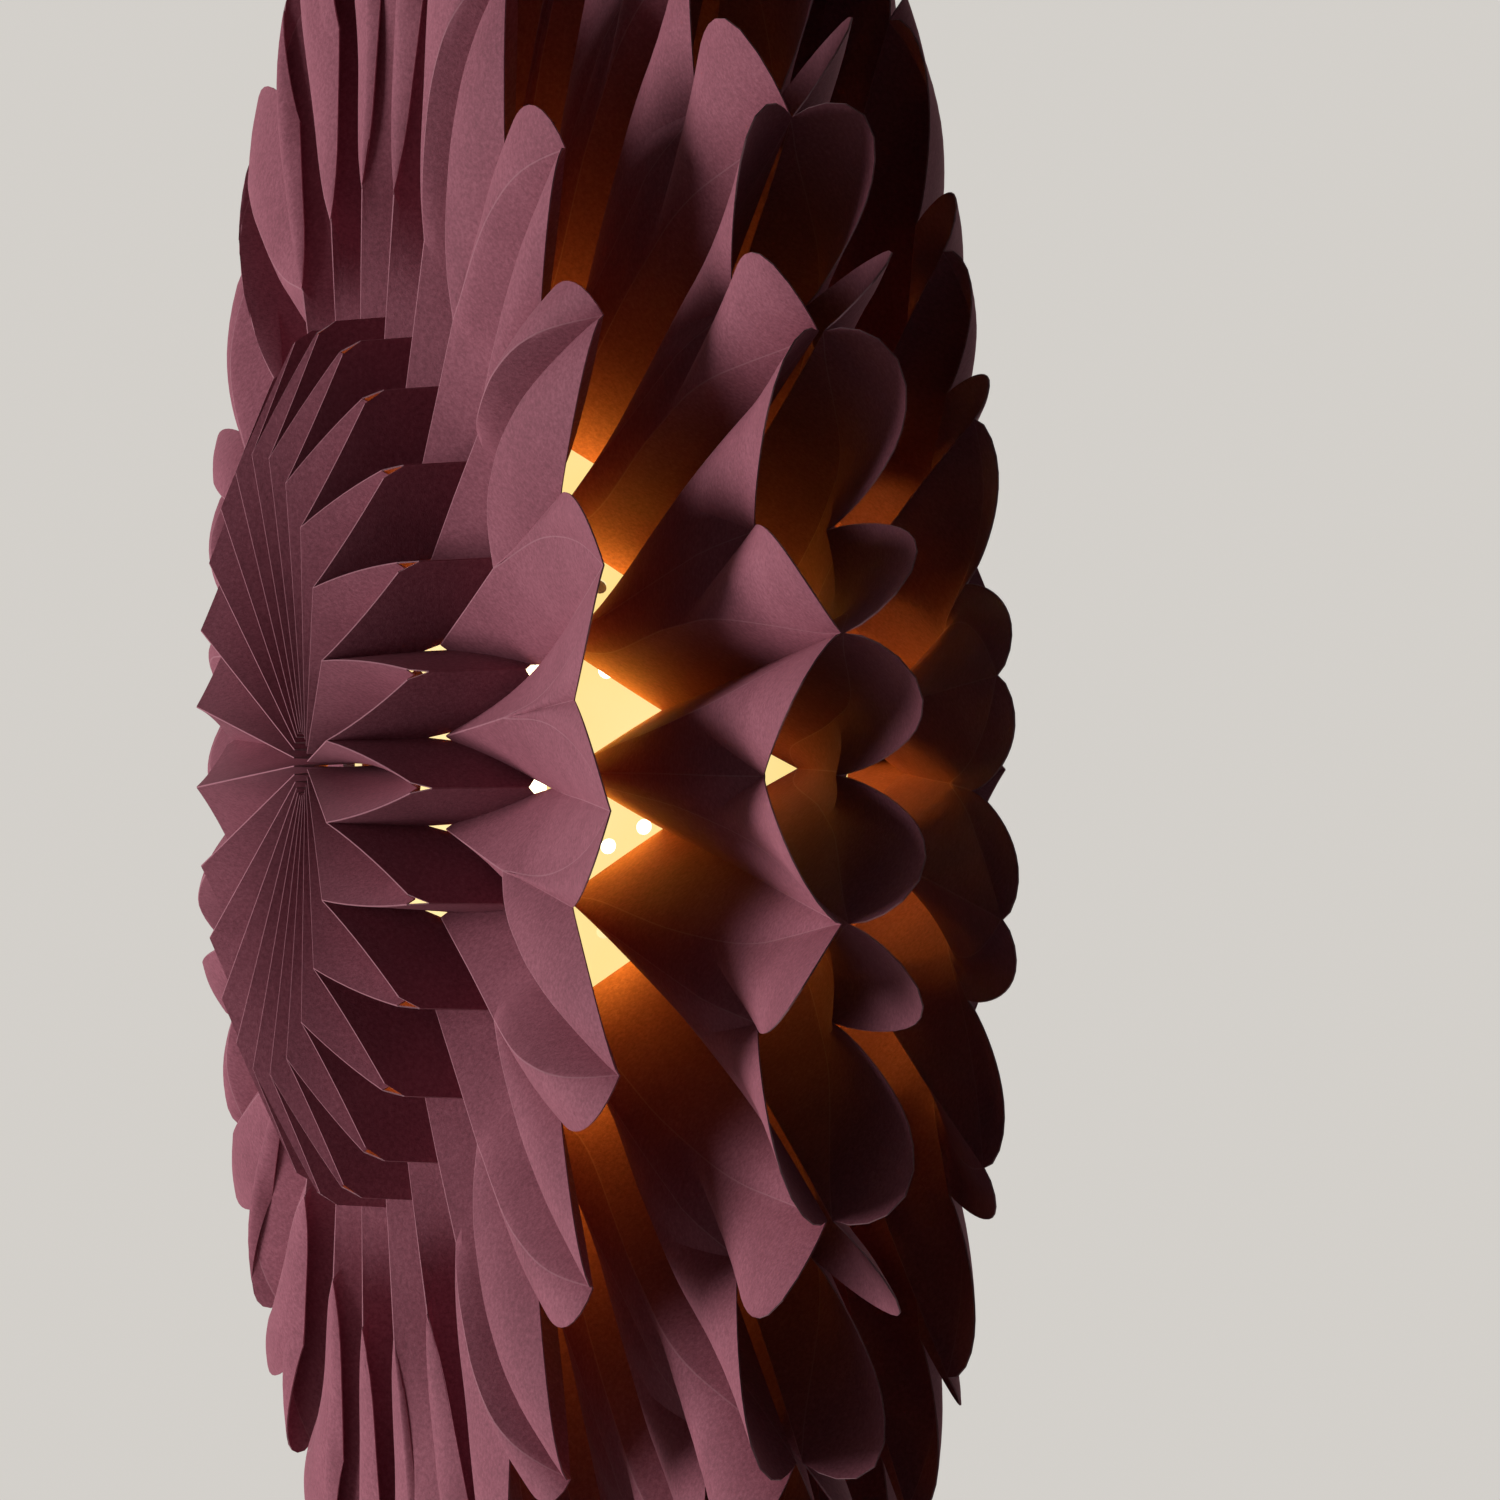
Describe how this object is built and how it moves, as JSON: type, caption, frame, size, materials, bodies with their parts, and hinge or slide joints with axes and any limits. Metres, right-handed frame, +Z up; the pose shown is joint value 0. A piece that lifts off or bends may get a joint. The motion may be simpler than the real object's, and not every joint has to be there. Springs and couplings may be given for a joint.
{
  "type": "pendant lamp",
  "caption": "Pendant lamp: pleated paper flowers and star collars round a lit opal drum, with a screw-cap lampholder hung from a cord gland.",
  "frame": {"origin": "centre of the cord gland's top face, from which the lamp hangs", "axes": "+Z up along the cord, -Y towards the front of the shade's axis, +X to the front view's right"},
  "size_m": [0.5748, 0.1726, 0.5747],
  "materials": {
    "plum_paper": "matt plum card paper",
    "card": "matt plum board",
    "opal_sheet": "opal lampshade sheet, lit from inside",
    "zinc_steel": "zinc plated",
    "brass": "plain brass",
    "black_plastic": "moulded black plastic",
    "white_ceramic": "white insulating body",
    "clear_glass": "clear glass",
    "glow": "lit filament"
  },
  "bodies": {
    "suspension": {"threaded_nipple": "zinc_steel", "cord_gland": "black_plastic", "holder_cap": "black_plastic", "holder_insulator": "white_ceramic", "centre_contact": "brass", "screw_sleeve": "brass", "terminal_screw_live": "brass", "terminal_screw_neutral": "brass"},
    "gland_cap": {"gland_nut": "black_plastic"},
    "cord_grip": {"grip_screw": "zinc_steel"},
    "lock_nut": {"nipple_nut": "zinc_steel"},
    "holder_skirt": {"holder_shell": "black_plastic"},
    "bulb": {"bulb_cap": "brass", "bulb_insulator": "white_ceramic", "bulb_tip": "zinc_steel", "bulb_globe": "clear_glass", "bulb_stem": "clear_glass", "bulb_filament_1": "glow", "bulb_filament_2": "glow", "bulb_filament_3": "glow", "bulb_filament_4": "glow"},
    "shade": {"opal_drum": "opal_sheet", "holder_bridge": "zinc_steel", "front_collar": "plum_paper", "front_hoop": "zinc_steel", "front_bridge_screw": "zinc_steel", "front_bridge_nut": "zinc_steel", "rear_collar": "plum_paper", "rear_hoop": "zinc_steel", "rear_bridge_screw": "zinc_steel", "rear_bridge_nut": "zinc_steel"},
    "front_flower": {"front_rosette": "plum_paper", "front_hub_disc": "card"},
    "rear_flower": {"rear_rosette": "plum_paper", "rear_hub_disc": "card"}
  },
  "joints": [
    {"name": "shade_turn", "type": "hinge", "parent": "suspension", "child": "shade", "pos_m": [0, 0, -0.0244], "axis": [0, 0, 1], "continuous": true},
    {"name": "front_flower_pull", "type": "slide", "parent": "shade", "child": "front_flower", "axis": [0, -1, 0], "range_m": [0, 0.05]},
    {"name": "rear_flower_pull", "type": "slide", "parent": "shade", "child": "rear_flower", "axis": [0, 1, 0], "range_m": [0, 0.05]},
    {"name": "bulb_unscrew", "type": "hinge", "parent": "suspension", "child": "bulb", "pos_m": [0, 0, -0.0809], "axis": [0, 0, 1], "continuous": true},
    {"name": "holder_skirt_unscrew", "type": "hinge", "parent": "suspension", "child": "holder_skirt", "pos_m": [0, 0, -0.0689], "axis": [0, 0, 1], "continuous": true},
    {"name": "lock_nut_unscrew", "type": "hinge", "parent": "suspension", "child": "lock_nut", "pos_m": [0, 0, -0.0224], "axis": [0, 0, 1], "continuous": true},
    {"name": "gland_nut_unscrew", "type": "hinge", "parent": "suspension", "child": "gland_cap", "pos_m": [0, 0, -0.0039], "axis": [0, 0, 1], "continuous": true},
    {"name": "grip_screw_unscrew", "type": "hinge", "parent": "suspension", "child": "cord_grip", "pos_m": [0, -0.009, -0.0143], "axis": [0, -1, 0], "continuous": true}
  ]
}
